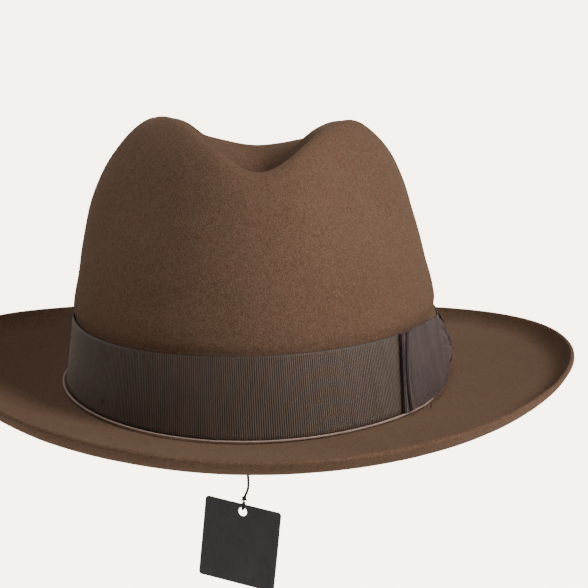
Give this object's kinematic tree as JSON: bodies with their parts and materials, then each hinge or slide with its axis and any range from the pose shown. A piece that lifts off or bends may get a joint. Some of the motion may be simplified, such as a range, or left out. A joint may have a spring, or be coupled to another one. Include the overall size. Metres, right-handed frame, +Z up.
{
  "type": "fedora hat",
  "caption": "Brown felt fedora: creased crown, curled raw-edge brim, grosgrain band with side bow, leather sweatband, satin lining and a hanging blank tag on a cord.",
  "frame": {"origin": "centre of the oval head opening, in the plane where the crown meets the brim", "axes": "+Z up through the crown, -Y towards the front of the hat, +X towards the wearer's left (the bow's side)"},
  "size_m": [0.2823, 0.3115, 0.2521],
  "materials": {
    "felt": "brown fur felt, short brushed nap",
    "grosgrain": "dark brown-grey ribbed ribbon",
    "piping": "taupe satin piping",
    "sweatband_leather": "tan roan leather, satin",
    "reed_tape": "cotton tape over a reed",
    "lining_satin": "satin weave",
    "thread": "dark sewing thread",
    "label_paper": "blank woven-paper label",
    "tag_cord": "charcoal waxed cotton cord",
    "tag_card": "matt charcoal card"
  },
  "bodies": {
    "hat": {"felt_body": "felt", "hatband": "grosgrain", "band_piping": "piping", "bow_under_loop": "grosgrain", "bow_over_loop": "grosgrain", "bow_knot": "grosgrain", "band_tack_stitch": "thread", "bow_thread_end": "thread", "sweatband": "sweatband_leather", "sweatband_reed": "reed_tape", "sweatband_thread": "thread", "sweatband_seam_tape": "sweatband_leather", "size_label": "label_paper", "lining_side": "lining_satin", "lining_tip": "lining_satin", "lining_tip_piping": "lining_satin", "rear_bow_left_loop": "grosgrain", "rear_bow_right_loop": "grosgrain", "rear_bow_knot": "grosgrain", "cord_loop": "tag_cord"},
    "cord_hitch": {"cord_top_knot": "tag_cord"},
    "cord": {"hang_cord": "tag_cord", "tag_knot": "tag_cord"},
    "tag": {"tag_loop": "tag_cord", "hang_tag": "tag_card"}
  },
  "joints": [
    {"name": "cord_side_swing", "type": "hinge", "parent": "hat", "child": "cord_hitch", "pos_m": [-0.011, 0.09026, -0.00355], "axis": [0, 1, 0], "range_deg": [-50, 50]},
    {"name": "cord_fore_aft_swing", "type": "hinge", "parent": "cord_hitch", "child": "cord", "pos_m": [-0.011, 0.09026, -0.00355], "axis": [1, 0, 0], "range_deg": [-60, 60]},
    {"name": "tag_twist", "type": "hinge", "parent": "cord", "child": "tag", "pos_m": [-0.00883, 0.09, -0.08151], "axis": [0, 0, 1], "range_deg": [-170, 170]}
  ]
}
